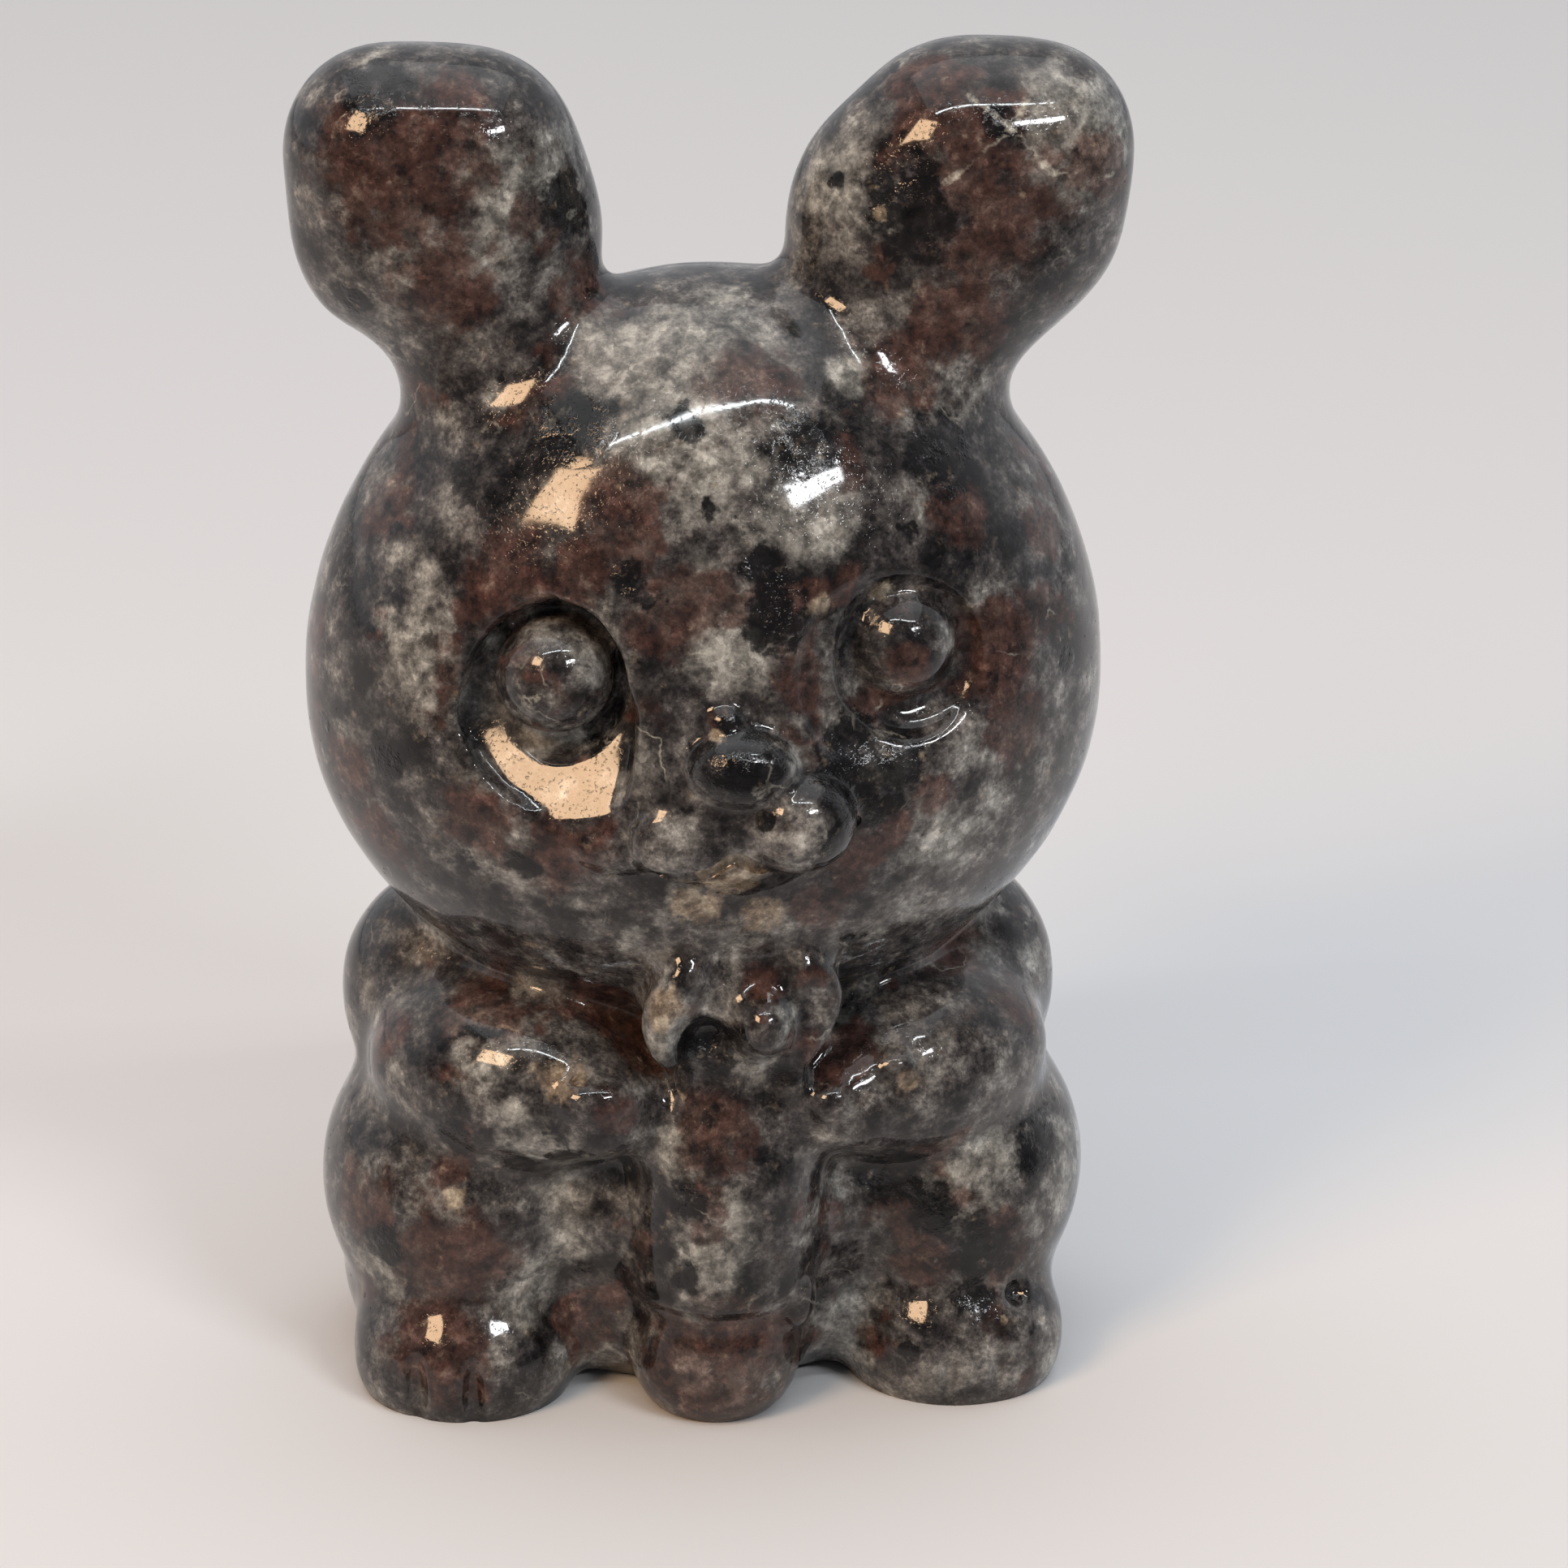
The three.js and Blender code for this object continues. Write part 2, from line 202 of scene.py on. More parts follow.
def ear(side):
    spread, length, width, root, neck = EARS[side]
    lean = side * EAR_LEAN
    rise = math.hypot(length / 2 * math.cos(lean), width / 2 * math.sin(lean))
    middle = Vector((side * spread, EAR_BACK, HEIGHT - rise))
    half_sizes = (width / 2 - 0.2, EAR_DEPTH / 2 - 0.3, length / 2 - 0.2)
    paddle = ball(middle, half_sizes, turn=(0, lean, 0), fine=6)
    corners = wrap([ear_corner(*place) for place in EAR_CORNERS[side]])
    stem = limb((side * root, 0, HEAD_MIDDLE + 10.5), middle, neck, neck * 0.8)
    return fuse("ear", [paddle, corners, stem], COARSE, 30)


skull = ball((HEAD_SIDE, 0, HEAD_MIDDLE), (HEAD_WIDTH / 2, HEAD_DEPTH / 2, CROWN - HEAD_MIDDLE),
             under=HEAD_MIDDLE - HEAD_LOW, fine=7)
head = fuse("head", [skull, ear(-1), ear(1)], COARSE, 20)
soften(head, 300, NECKS, reach=7)

# %% [markdown]
# ## Body
# The body is a stack of soft masses: trunk, seat and chest, thighs with feet, arms folded in
# front, and a small bump of a tail. The arms end in a clear line over the thighs, so the
# masses are each made smooth first and meet with only a few rounds of wear.

# %% Trunk, legs and arms
trunk = fuse("trunk", [
    ball((0, 1.4, 13), (13.5, 8.8, 14), fine=6),
    ball((0, -1.7, 9), (11.5, 8, 6), fine=6),
    ball((0, 0.6, 4), (13, 9.3, 6), fine=6),
    ball((0, 0, 18), (10.5, 6.4, 6), fine=6),
    ball((0, 9.2, 5.4), (2.7, 2.4, 2.7)),
], COARSE, 20)


def leg(side):
    thigh = ball((side * (HIP_SPAN / 2 - 6.6), -0.9, 8.9), (6.9, 8.3, 7.7), fine=6)
    heel = ball((side * 11.7, 0, 3.6), (5.5, 7.4, 4.8), fine=6)
    foot = ball((side * 11.6, 4.9 - FOOT_REACH, 1.9), (5.5, 5.1, 4.6), fine=6)
    return fuse("leg", [thigh, heel, foot], COARSE, 10)


def arm(side):
    shoulder = ball((side * (ARM_SPAN / 2 - 5.7), 2.2, 17), (5.8, 5.8, 6.2), fine=6)
    forearm = ball((side * 9.6, -5, 15.9), (7.1, 4.9, 4.6), turn=(0, 0, side * ARM_TURN), fine=6)
    paw = ball((side * 5.6, -8.7, 15.8), (3, 2.9, 2.8))
    return fuse("arm", [shoulder, forearm, paw], COARSE, 16)


body = fuse("body", [trunk, leg(-1), leg(1), arm(-1), arm(1)], BODY_VOXEL, 12)

# %% [markdown]
# ## The thing it holds
# Between the feet stands a thick stalk with a round foot set off by a ledge, and on the chest
# it narrows and then flares into lobes. It reads best as a fish held head down: its tail
# spread on the chest, a narrow waist, a body, a gill line and a blunt head. The wear has
# taken all finer marks, so each lump is put where the photograph shows it.

# %% Fish: head, body, waist and tail
fish = fuse("fish", [
    limb((0.4, FRONT + 0.3, 12.4), (0.2, FRONT - 0.1, LEDGE + 0.6), 4.7, 4.5),
    limb((0.4, FRONT + 0.3, 12.8), (0.6, FRONT + 0.2, 16.8), 4.6, 3.0),
    ball((0.65, FRONT - 0.5, 20.7), (4.6, 3.1, 3.6), fine=6),
    ball((0, FRONT + 0.1, 2.6), (4.2, 4.1, 3.9)),
], MEDIUM, 12)


def ridge(points, thick, thin):
    """A raised line through the points, as a chain of short limbs that grow thinner."""
    steps = len(points) - 1
    radii = [thick + (thin - thick) * i / steps for i in range(steps + 1)]
    return [limb(*points[i:i + 2], *radii[i:i + 2]) for i in range(steps)]


curl = ridge([(-2, -11, 23.2), (-2.9, -11, 22), (-3.2, -11, 20.6), (-2.6, -11.3, 19.3)], 1.1, 1.05)
fin = ridge([(3.4, -10.9, 23.4), (4.7, -10.4, 22.5), (5, -10.2, 21.3), (4.4, -10.7, 20.1),
             (3.5, -11, 18.9), (3.1, -11, 17.6), (3.3, -10.6, 16.2)], 0.8, 0.55)
fish = fuse("fish", [fish, *curl, *fin], CLOSE, 6)
cut(fish, [
    ball((-0.9, FRONT - 4.2, 19.9), (1.7, 2.6, 1.4)),
    ball((2.6, FRONT - 3.9, 18.6), (0.8, 1.7, 0.9)),
    ball((0.8, FRONT - 5.6, 23.6), (2.6, 3, 1.2)),
])
bpy.ops.object.select_all(action="DESELECT")
bpy.ops.mesh.primitive_torus_add(
    location=(0.1, FRONT + 0.1, LEDGE - 0.9), rotation=(math.radians(-3), 0, 0),
    major_radius=LEDGE_RING, minor_radius=LEDGE_WIDTH, major_segments=96, minor_segments=16)
cut(fish, [bpy.context.object])
knob = ball((1.6, FRONT - 3, 20.8), (1.45, 2.1, 1.75))
fish = fuse("fish", [fish, knob], CLOSE, 3)

# %% [markdown]
# ## The figure
# Head, body and stalk meet in narrow creases, so they are fused last with few rounds.

# %% Bring the forms together
figure = fuse("stone_bear", [head, body, fish], MEDIUM, 8)

# %% [markdown]
# ## Face
# Everything on the face is set by two numbers, how far to the side and how high, and a ray
# from the front finds the stone there. The face is cut a few degrees askew, so each place is
# first turned about the head's middle.

# %% Find the stone under a place on the face
def stone_at(x, z):
    """The foremost point of the figure at that place."""
    bpy.context.view_layer.update()
    return figure.ray_cast(Vector((x, -60, z)), Vector((0, 1, 0)))[1]


def on_face(x, z):
    """The place turned about the head's middle as the face is, and the stone there."""
    up = z - HEAD_MIDDLE
    across = x * math.cos(FACE_TILT) - up * math.sin(FACE_TILT)
    return stone_at(across, HEAD_MIDDLE + up * math.cos(FACE_TILT) + x * math.sin(FACE_TILT))


def bump(x, z, size, sunk):
    """A ball set into the face, its middle sunk that far behind the stone's skin."""
    return ball(on_face(x, z) + Vector((0, sunk, 0)), size)


def facing(azimuth, elevation):
    """The direction that far round from the front, towards +X, and that far up."""
    a, e = math.radians(azimuth), math.radians(elevation)
    return Vector((math.sin(a) * math.cos(e), -math.cos(a) * math.cos(e), math.sin(e)))

# %% [markdown]
# ## Eyes
# Each eye is a dome in a round moat. The left one also sits in a hollow with an almost flat
# floor that tips up, which is why one lamp lights it as a broad crescent below the moat. So
# the cutter for that hollow is what several forms share: a large flat lens for the floor,
# round plugs that give its outline, and another lens that stops it from going too deep. The
# right eye's hollow is made in the same way, with one plug and hardly any depth.

# %% Hollow, moats and eye domes
EYES = {-1: (-7.8, EYE_LEVEL + 0.9), 1: (8.6, EYE_LEVEL + 0.5)}
SUNK_ALONG = {-1: facing(-6, 22), 1: facing(14, 12)}   # the direction in which each eye was cut in
MOATS = {-1: ((-8, 38.4), 3.5, 4), 1: ((8.5, 37.8), 3.6, 2.2)}   # middle, radius and depth
EYE_DEPTHS = {-1: 2.6, 1: 2.5}                         # how far down each dome's middle lies
PLUNGE = facing(-3, 27)           # the direction in which the hollows' outlines were cut
HOLLOWS = {  # side: plugs' middles and radii
    -1: (((-4.8, 39.3), 7.5), ((-6.8, 37), 5.4), ((-14.3, 35.5), 10.1)),
    1: (((7.3, 37.4), 4.5),),
}
FLOORS = {  # side: a place over the floor, depth there, the way it faces, its half height, most depth
    -1: ((-8.2, 34.8), 1.8, facing(-22, 30), 24, 3.1),
    1: ((6.2, 34), 0.4, facing(14, 31), 14, 1.1),
}
SOFT_BROWS = ((-3.7, 36), (-3.7, 38.5), (-4.6, 41))    # worn soft before the moats were cut
SOFT_RIMS = (                                          # and after it
    (-8.3, 42.3), (-10.6, 41.3), (-5.8, 42), (-11.7, 39.6), (6.4, 40), (8.8, 41.2))


def turned(towards):
    """The turn that brings the Y axis round to that direction and keeps X level."""
    across = Vector((0, 0, 1)).cross(towards).normalized()
    return Matrix((across, towards, across.cross(towards))).transposed().to_euler()


def lens(place, size, outward, deep):
    """A big lens whose inner side lies that deep behind a place on the face."""
    skin = on_face(*place)
    return ball(skin + outward * (size[1] - deep), size, turn=turned(outward), fine=7)


def plug(place, radius, along, deep, tall=4, swell=1.3):
    """A round plug through a place on the face, from that deep below it to that tall above."""
    skin = on_face(*place)
    return wrap([ball(skin + along * reach, (radius, swell, radius), turn=turned(along))
                 for reach in (swell - deep, tall)])


def moat(side):
    middle, radius, deep = MOATS[side]
    return plug(middle, radius, SUNK_ALONG[side], deep)


def dome(side):
    skin = on_face(*EYES[side])
    return ball(skin - SUNK_ALONG[side] * EYE_DEPTHS[side], (EYE,) * 3)


def hollow(side):
    place, depth, aim, tall, most = FLOORS[side]
    outline = [plug(middle, radius, PLUNGE, 9) for middle, radius in HOLLOWS[side]]
    floor = lens(place, (40, 8, tall), aim, depth)
    stop = lens(EYES[side], (14, 6.5, 14), facing(side * 16, 6), most)
    return cut(floor, [*outline, stop], "INTERSECT")


swelling = bump(0, 32.2, (5.6, 3.4, 4.8), 2.2)
figure = fuse("stone_bear", [figure, swelling], MEDIUM, 8)
domes = [dome(-1), dome(1)]
moats = [moat(-1), moat(1)]
hollows = [hollow(-1), hollow(1)]
brows, rims = ([on_face(*place) for place in places] for places in (SOFT_BROWS, SOFT_RIMS))

# %% [markdown]
# ## Nose and mouth
# The face swells a little towards the nose. Two lobes under it meet in a cleft: the one on
# the viewer's left runs out into the cheek, the other is a clear round ball.

# %% Nose and lobes, and all the cuts of the face
muzzle = [
    bump(-2.2, 31, (2.8, 1.2, 2.1), 0.75),
    bump(-4.6, 30.4, (3.4, 2, 1.7), 1.6),
    bump(2.6, 31.4, (2.7, 2.5, 2.4), 0.9),
    bump(0.2, 34.3, (2.5, 1.8, 1.8), 0.5),
    bump(-0.4, 36.4, (1, 0.8, 0.8), 0.1),
]
figure = fuse("stone_bear", [cut(figure, hollows)], CLOSE, 2)
soften(figure, 40, brows, reach=2.2)
cut(figure, moats)

# %% [markdown]
# ## Toes and small lumps
# Two nicks mark the toes of each foot, deep on one and nearly worn away on the other. A few
# lumps on the paws and a pit in one foot are as found.

# %% Nicks, lumps and pit
def nick(x, z, depth):
    return ball(stone_at(x, z) - Vector((0, 0.2, 0.4)), (0.55, depth, 2.8))


nicks = [nick(x, 1.6, 0.95) for x in CLEAR_TOES] + [nick(x, 1.6, 0.5) for x in WORN_TOES]
pit = ball(stone_at(14.2, 5), (0.6, 0.8, 0.6))
cut(figure, nicks + [pit])
lumps = [
    ball((3.5, FRONT - 1.9, 6.3), (1, 1.2, 1.7)),
    ball(stone_at(7.9, 17.6) + Vector((0, 0.5, 0)), (1.1, 0.9, 1)),
    ball(stone_at(4.9, 16.4) + Vector((0, 0.5, 0)), (1.2, 1, 1.1)),
    ball(stone_at(-6, 16.6) + Vector((0, 1.3, 0)), (2.2, 1.7, 1.4)),
]
figure = fuse("stone_bear", [figure, *domes, *muzzle, *lumps], FINE, 4)
soften(figure, 90, rims, reach=2.1)

# %% [markdown]
# ## Mouth
# The line under the two lobes is scratched in last, so that it stays crisp. It rises to a
# little peak where the lobes meet.

# %% Mouth line
MOUTH = ((-4.6, 29.9), (-3.2, 29.4), (-1.5, 29.5), (-0.4, 30.2),
         (0.8, 29.4), (2.6, 29.2), (4.4, 29.7), (5.3, 30.8))
line = [on_face(*place) - Vector((0, 0.05, 0)) for place in MOUTH]
cut(figure, [fuse("mouth", ridge(line, 0.42, 0.36), MOUTH_VOXEL, 2)])
soften(figure, 2)

# %% [markdown]
# ## Polish
# A stone polished by hand is never quite true: its highlights wander. A faint displacement by
# soft clouds gives that, and then the mesh is thinned where it is flatter than it need be.

# %% Hand-polished waviness
WAVE, WAVE_HEIGHT, FACES_KEPT = 5.0, 0.16, 0.5
wander = bpy.data.textures.new("wander", "CLOUDS")
wander.noise_scale, wander.noise_depth = WAVE, 1
applied(figure, "DISPLACE", texture=wander, texture_coords="LOCAL", strength=WAVE_HEIGHT, mid_level=0.5)
applied(figure, "DECIMATE", ratio=FACES_KEPT)

# %% [markdown]
# ## Where the stone's patches lie
# The stone is a dark grey rock with rust-brown, black and pale patches. The larger ones are
# features of this one pebble, so they are put where they are seen: each is a place on the
# front and a radius. The mesh stores, for every point, how near it is to a patch of each
# kind. The shader only has to make the edges ragged, so they stay sharp at any size.

# %% Patches on the front: across, up and radius in millimetres
PATCHES = {
    "rust": (
        (-14.5, 59.6, 3.6), (-11.9, 62.6, 1.3), (-12.9, 54, 2.1), (-6.4, 53.5, 1.5), (9.3, 61.3, 1.9),
        (11.6, 57.9, 3.6), (10.4, 52, 2.3), (0.7, 50.4, 1.9), (7.7, 49.7, 1.9), (10.4, 44.4, 1.6),
        (-5.5, 45.7, 1.7), (-10, 41.8, 2.3), (-6.9, 42.6, 1.5), (-1.2, 42, 1.2), (-3.2, 41.3, 1.9),
        (2.9, 37.9, 1.4), (7.7, 38, 1.1), (12.5, 38, 2.3), (13, 34.1, 1.7), (9.2, 31.6, 1.1),
        (-8, 29.4, 1.9), (-11.4, 30.7, 1.7), (3.8, 26.7, 1.3), (-17, 31.5, 1.5), (-10.9, 19.9, 2.1),
        (-15.4, 17.6, 1.5), (-5.8, 20.3, 1.7), (-5.1, 16.6, 1.1), (-0.5, 15.3, 1.9), (1.6, 22.7, 0.9),
        (11.2, 20.5, 1.9), (14.3, 18.8, 1.6), (6, 18.8, 1.1), (9.8, 7, 1.3), (-16.8, 9.9, 1.5),
        (-12.4, 7.9, 2.7), (-13.2, 3.8, 2.4), (-0.2, 3.2, 3.5), (-15.3, 43.5, 1.5), (14.8, 42.4, 1.3),
    ),
    "black": (
        (-7, 57.4, 1.4), (-16.7, 53, 0.9), (-15.4, 62.8, 1.5), (8.4, 57.3, 2.1), (12.3, 61.2, 0.8),
        (-6.9, 48.4, 1.7), (9.8, 46.6, 1.9), (3.3, 47.9, 1.5), (1.2, 43, 1.1), (1.7, 41, 1.6),
        (-4.9, 42.5, 0.8), (0, 35.4, 2.1), (5.7, 33.6, 2.6), (4.5, 30.9, 1.1), (-15.4, 33, 1.1),
        (-18, 33, 0.5), (15.8, 36.4, 0.6), (-1, 19.7, 1.9), (2.8, 18.4, 0.9), (-1.8, 12, 0.9),
        (-1.8, 8.2, 0.8), (8.2, 11.5, 1.6), (15.4, 12, 1.4), (10, 9.8, 1.2), (12.6, 7.7, 1.8),
        (12.1, 5.3, 0.9), (-15.5, 8.1, 1), (4.4, 5.2, 1.1), (-9.5, 28.9, 0.8), (-12.3, 14.1, 0.9),
    ),
    "pale": (
        (-2.6, 50.9, 3), (5.5, 50.1, 1), (-3.4, 48.1, 2.3), (-1.2, 47, 1.9), (-0.6, 39.6, 1.6),
        (6.7, 33.9, 1.1), (9.8, 29.3, 1.7), (-9.3, 58.1, 2.1), (5, 57.9, 1.7), (16.4, 60.4, 2.7),
        (-11.2, 18.3, 1.4), (-3.2, 21.2, 1.6), (-2.2, 14.2, 1.2), (-0.6, 10.8, 1.7), (-1.2, 8.4, 1.4),
        (12.7, 20.4, 0.9), (12, 11.7, 2.1), (-7, 8.5, 1.1), (-9.1, 6.3, 1.5), (-7.3, 10.8, 1.2),
        (-1.4, 3.1, 1), (-13.8, 38.3, 1.5), (3.4, 44.9, 1.7),
    ),
    "cream": (
        (-0.2, 28.9, 1.2), (-1.7, 27.1, 1.1), (1.4, 26.4, 1), (-7.5, 17.8, 1), (3.7, 41.3, 0.5),
        (6.6, 41.4, 0.5), (-12.4, 11.1, 0.5), (8.5, 17.3, 0.5), (-3.1, 21.9, 0.9), (-1.1, 36, 0.3),
    ),
}
EAR_VEINS = (  # thin pale veins on the right ear, each from one place to the next
    ((10.9, 62.2), (12.8, 60.9), (9.8, 58.6)), ((13.6, 62.1), (12.8, 60.9), (14.6, 58.9), (17.6, 58.4)),
)

# %% Store how near each point lies to a patch of each kind
def store(name, values):
    attribute = figure.data.attributes.new(name, "FLOAT", "POINT")
    attribute.data.foreach_set("value", values.astype(np.float32))
    print(f"{name}: {np.count_nonzero(values > 0.5)} points well inside")


points = np.empty(len(figure.data.vertices) * 3, np.float32)
figure.data.vertices.foreach_get("co", points)
points = points.reshape(-1, 3)
for kind, spots in PATCHES.items():
    near = np.zeros(len(points))
    for x, z, radius in spots:
        middle = np.array(stone_at(x, z))
        near = np.maximum(near, 1 - ((points - middle) ** 2).sum(1) / (radius * 1.5) ** 2)
    store(kind, near)


def nearness_to_line(start, end, reach):
    """1 on the line from start to end, falling to 0 at that reach."""
    start, end = (np.array(stone_at(*place)) for place in (start, end))
    along = np.clip((points - start) @ (end - start) / ((end - start) @ (end - start)), 0, 1)
    return 1 - np.linalg.norm(points - start - along[:, None] * (end - start), axis=1) / reach


veins = [nearness_to_line(a, b, 1.5) for line in EAR_VEINS for a, b in zip(line, line[1:])]
store("veins", np.maximum(np.max(veins, axis=0), 0))

# %% [markdown]
# ## To size
# The mesh is cut off level, so that it stands on flat undersides. Then it is brought to metres
# and moved a little, so that it stands exactly where the solid does.

# %% Cut off level, shrink to metres and set in place
alone(figure)
bpy.ops.object.mode_set(mode="EDIT")
bpy.ops.mesh.select_all(action="SELECT")
bpy.ops.mesh.bisect(plane_co=(0, 0, 0), plane_no=(0, 0, 1), use_fill=True, clear_inner=True)
bpy.ops.object.mode_set(mode="OBJECT")
figure.location = (CENTRED[0] / 1000, CENTRED[1] / 1000, 0)
figure.scale = (0.001,) * 3
bpy.ops.object.transform_apply(location=True, rotation=True, scale=True)
bpy.ops.object.shade_smooth_by_angle(angle=math.radians(50))
print("triangles:", sum(len(p.vertices) - 2 for p in figure.data.polygons))

# %% [markdown]
# ## Node helpers
# A shader is a chain of small steps. One helper adds a node and wires its inputs, and the
# others use it: one mixes two colours by a mask, one does sums, one stretches a range, and one
# turns everyday 0 to 255 colours into the linear ones that the renderer works in.

# %% Add a node, mix two colours, do sums, convert a colour
def add(tree, kind, feeds=None, **settings):
    """A new node with its settings; feeds gives each input a value or another node's output."""
    node = tree.nodes.new("ShaderNode" + kind)
    for name, value in settings.items():
        setattr(node, name, value)
    for name, source in (feeds or {}).items():
        if isinstance(source, bpy.types.NodeSocket):
            tree.links.new(source, node.inputs[name])
        else:
            node.inputs[name].default_value = source
    return node


def mixed(tree, mask, under, over):
    """The colour over laid on under where mask is 1."""
    return add(tree, "Mix", {0: mask, 6: under, 7: over}, data_type="RGBA").outputs[2]


def sums(tree, operation, *feeds):
    return add(tree, "Math", dict(enumerate(feeds)), operation=operation).outputs[0]


def spread(tree, value, low, high, least=0.0, most=1.0, **settings):
    """The value stretched so that low becomes least and high becomes most, and no further."""
    return add(tree, "MapRange", {"Value": value, "From Min": low, "From Max": high,
                                  "To Min": least, "To Max": most}, **settings).outputs["Result"]


def colour(*rgb):
    return tuple(c / 255 / 12.92 if c <= 10 else ((c / 255 + 0.055) / 1.055) ** 2.4 for c in rgb) + (1,)


def ramp(tree, value, *stops):
    """A colour ramp: each stop is a place from 0 to 1 and a colour."""
    node = add(tree, "ValToRGB", {"Fac": value})
    while len(node.color_ramp.elements) < len(stops):
        node.color_ramp.elements.new(0.5)
    for element, (place, rgb) in zip(node.color_ramp.elements, stops):
        element.position, element.color = place, colour(*rgb)
    return node.outputs["Color"]

# %% [markdown]
# ## Two effects used again and again
# Clouds are fractal noise at a size in millimetres. A patch is a mask with a ragged edge: it
# takes a nearness, adds clouds to it and keeps what is above one half. Both are node groups,
# so each kind of patch only has to give its own numbers.

# %% Node groups: clouds and ragged patches
def new_group(name, inputs, output):
    """An empty group with float inputs after its Place, and one float output."""
    tree = bpy.data.node_groups.new(name, "ShaderNodeTree")
    tree.interface.new_socket("Place", in_out="INPUT", socket_type="NodeSocketVector")
    for label in inputs:
        tree.interface.new_socket(label, in_out="INPUT", socket_type="NodeSocketFloat")
    tree.interface.new_socket(output, in_out="OUTPUT", socket_type="NodeSocketFloat")
    return tree, tree.nodes.new("NodeGroupInput").outputs, tree.nodes.new("NodeGroupOutput").inputs


def use(tree, group, **feeds):
    """One use of a group in a tree; gives back its output."""
    node = add(tree, "Group", node_tree=group)
    for name, source in feeds.items():
        if isinstance(source, bpy.types.NodeSocket):
            tree.links.new(source, node.inputs[name])
        else:
            node.inputs[name].default_value = source
    return node.outputs[0]


FINEST = 0.04                     # millimetres: clouds have no detail smaller than this
RAGGEDNESS = 2.4                  # how much the clouds shift a patch's edge
clouds, given, out = new_group("clouds", ("Size", "Grit", "Seed"), "Value")
noise = add(clouds, "TexNoise", {
    "Vector": given["Place"], "W": given["Seed"], "Roughness": given["Grit"],
    "Detail": sums(clouds, "LOGARITHM", sums(clouds, "DIVIDE", given["Size"], FINEST), 2.0),
    "Scale": sums(clouds, "DIVIDE", 1.0, given["Size"])}, noise_dimensions="4D")
clouds.links.new(noise.outputs["Fac"], out["Value"])

patch, given, out = new_group("ragged_patch", ("Near", "Size", "Edge", "Seed"), "Mask")
torn = use(patch, clouds, Place=given["Place"], Size=given["Size"], Grit=0.64, Seed=given["Seed"])
ragged = sums(patch, "MULTIPLY", sums(patch, "SUBTRACT", torn, 0.5), RAGGEDNESS)
height = sums(patch, "ADD", given["Near"], ragged)
edge = spread(patch, height, sums(patch, "SUBTRACT", 0.5, given["Edge"]),
              sums(patch, "ADD", 0.5, given["Edge"]), interpolation_type="SMOOTHSTEP")
patch.links.new(edge, out["Mask"])
print("groups:", clouds.name, patch.name)

# %% [markdown]
# ## The stone's colour
# From the bottom up: a cloudy grey ground, pale crystals, rust patches, black patches and
# cream flecks. Each kind also turns up at random away from the patches that were placed, so
# the back and the sides carry the same rock as the front.

# %% Ground, patches and flecks
stone = bpy.data.materials.new("polished_stone")
stone.use_nodes = True
tree = stone.node_tree
shader = tree.nodes["Principled BSDF"]
place = add(tree, "VectorMath", {0: add(tree, "TexCoord").outputs["Object"], 1: (1000,) * 3},
            operation="MULTIPLY").outputs[0]     # the place in the stone, in millimetres


def cloud(size, grit, seed):
    return use(tree, clouds, Place=place, Size=size, Grit=grit, Seed=seed)


def nearness(kind, scattered, size, seed):
    """How near a patch of a kind is: the stored ones, or scattered ones away from them."""
    stored = add(tree, "Attribute", attribute_name=kind).outputs["Fac"]
    chance = spread(tree, cloud(size, 0.45, seed), 0.66 - scattered, 0.74 - scattered, most=0.75)
    return sums(tree, "MAXIMUM", stored, chance)


def patches(kind, scattered, size, edge, seed):
    near = nearness(kind, scattered, size * 2.2, seed)
    return use(tree, patch, Place=place, Near=near, Size=size, Edge=edge, Seed=seed + 0.5)


fine = cloud(1.0, 0.68, 3.0)
ground = ramp(tree, cloud(2.6, 0.72, 1.0), (0.38, (16, 15, 17)), (0.46, (42, 40, 41)),
              (0.53, (75, 72, 71)), (0.6, (118, 116, 112)), (0.69, (168, 167, 161)))
rust = ramp(tree, fine, (0.36, (28, 21, 21)), (0.46, (60, 40, 35)), (0.58, (82, 57, 50)),
            (0.7, (114, 94, 84)))
black = ramp(tree, fine, (0.38, (8, 8, 10)), (0.56, (18, 18, 21)), (0.66, (56, 55, 58)))
pale = ramp(tree, fine, (0.36, (73, 72, 70)), (0.47, (125, 124, 119)), (0.6, (178, 177, 170)))
cream = ramp(tree, fine, (0.36, (84, 70, 58)), (0.52, (146, 130, 110)), (0.66, (204, 192, 170)))

masks = {  # kind: how many turn up at random, size, softness of the edge, seed
    "pale": patches("pale", 0.06, 1.8, 0.45, 11.0),
    "rust": patches("rust", 0.11, 1.8, 0.28, 21.0),
    "black": patches("black", 0.05, 1.2, 0.2, 31.0),
    "cream": patches("cream", -0.03, 0.7, 0.35, 41.0),
}
layers = (("pale", pale, 0.8), ("rust", rust, 0.8), ("black", black, 0.92), ("cream", cream, 0.75))
tint = ground
for kind, over, strength in layers:
    tint = mixed(tree, sums(tree, "MULTIPLY", masks[kind], strength), tint, over)

# %% [markdown]
# ## Veins and grit
# Hair-thin pale veins wander through the rock. They are where slow noise crosses its middle
# value, broken up by a second noise. Two clear ones on the right ear are placed, and drawn
# from the stored distance. Fine grit then darkens and lightens everything a little.

# %% Veins, grit and crystals
VEIN_COLOUR = colour(182, 179, 166)
stir = add(tree, "TexNoise", {"Vector": place, "Scale": 1.1, "Detail": 4.0, "Roughness": 0.65})
stirred = add(tree, "VectorMath", {0: stir.outputs["Color"], 1: (1.5,) * 3, 2: place},
              operation="MULTIPLY_ADD").outputs[0]


